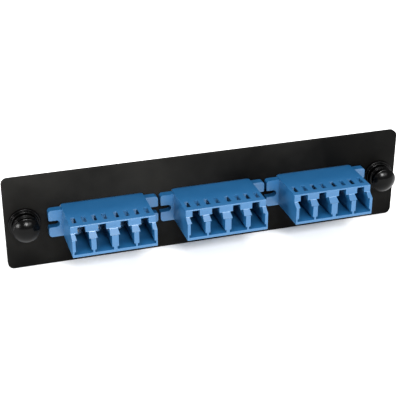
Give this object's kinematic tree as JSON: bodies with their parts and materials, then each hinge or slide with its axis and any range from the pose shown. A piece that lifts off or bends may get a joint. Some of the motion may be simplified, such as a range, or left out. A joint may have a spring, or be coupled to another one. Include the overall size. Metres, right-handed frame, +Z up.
{
  "type": "fibre patch panel",
  "caption": "Flat black plate carrying blue fibre adapters with split sleeves inside and spring clips behind, held to an enclosure by a push-pull latch at each end.",
  "frame": {"origin": "centre of the plate's rear face, the face that seats on the enclosure", "axes": "+X along the plate, +Y from the plate into the enclosure, +Z up; the user's ports face -Y"},
  "size_m": [0.13, 0.0286, 0.0306],
  "materials": {
    "plate_coat": "matte black powder coat",
    "adapter_blue": "satin moulded blue",
    "clip_steel": "bright rolled spring steel",
    "sleeve_ceramic": "ground zirconia",
    "latch_nylon": "glossy black nylon"
  },
  "bodies": {
    "panel": {"panel_plate": "plate_coat", "left_adapter_front_shell": "adapter_blue", "left_adapter_rear_shell": "adapter_blue", "left_retaining_clip": "clip_steel", "left_sleeve_holder_1": "adapter_blue", "left_split_sleeve_1": "sleeve_ceramic", "left_sleeve_holder_2": "adapter_blue", "left_split_sleeve_2": "sleeve_ceramic", "left_sleeve_holder_3": "adapter_blue", "left_split_sleeve_3": "sleeve_ceramic", "left_sleeve_holder_4": "adapter_blue", "left_split_sleeve_4": "sleeve_ceramic", "middle_adapter_front_shell": "adapter_blue", "middle_adapter_rear_shell": "adapter_blue", "middle_retaining_clip": "clip_steel", "middle_sleeve_holder_1": "adapter_blue", "middle_split_sleeve_1": "sleeve_ceramic", "middle_sleeve_holder_2": "adapter_blue", "middle_split_sleeve_2": "sleeve_ceramic", "middle_sleeve_holder_3": "adapter_blue", "middle_split_sleeve_3": "sleeve_ceramic", "middle_sleeve_holder_4": "adapter_blue", "middle_split_sleeve_4": "sleeve_ceramic", "right_adapter_front_shell": "adapter_blue", "right_adapter_rear_shell": "adapter_blue", "right_retaining_clip": "clip_steel", "right_sleeve_holder_1": "adapter_blue", "right_split_sleeve_1": "sleeve_ceramic", "right_sleeve_holder_2": "adapter_blue", "right_split_sleeve_2": "sleeve_ceramic", "right_sleeve_holder_3": "adapter_blue", "right_split_sleeve_3": "sleeve_ceramic", "right_sleeve_holder_4": "adapter_blue", "right_split_sleeve_4": "sleeve_ceramic", "left_latch_grommet": "latch_nylon", "right_latch_grommet": "latch_nylon"},
    "left_plunger": {"left_latch_plunger": "latch_nylon"},
    "right_plunger": {"right_latch_plunger": "latch_nylon"}
  },
  "joints": [
    {"name": "left_latch_pull", "type": "slide", "parent": "panel", "child": "left_plunger", "axis": [0, -1, 0], "range_m": [0, 0.0055]},
    {"name": "right_latch_pull", "type": "slide", "parent": "panel", "child": "right_plunger", "axis": [0, -1, 0], "range_m": [0, 0.0055]}
  ]
}
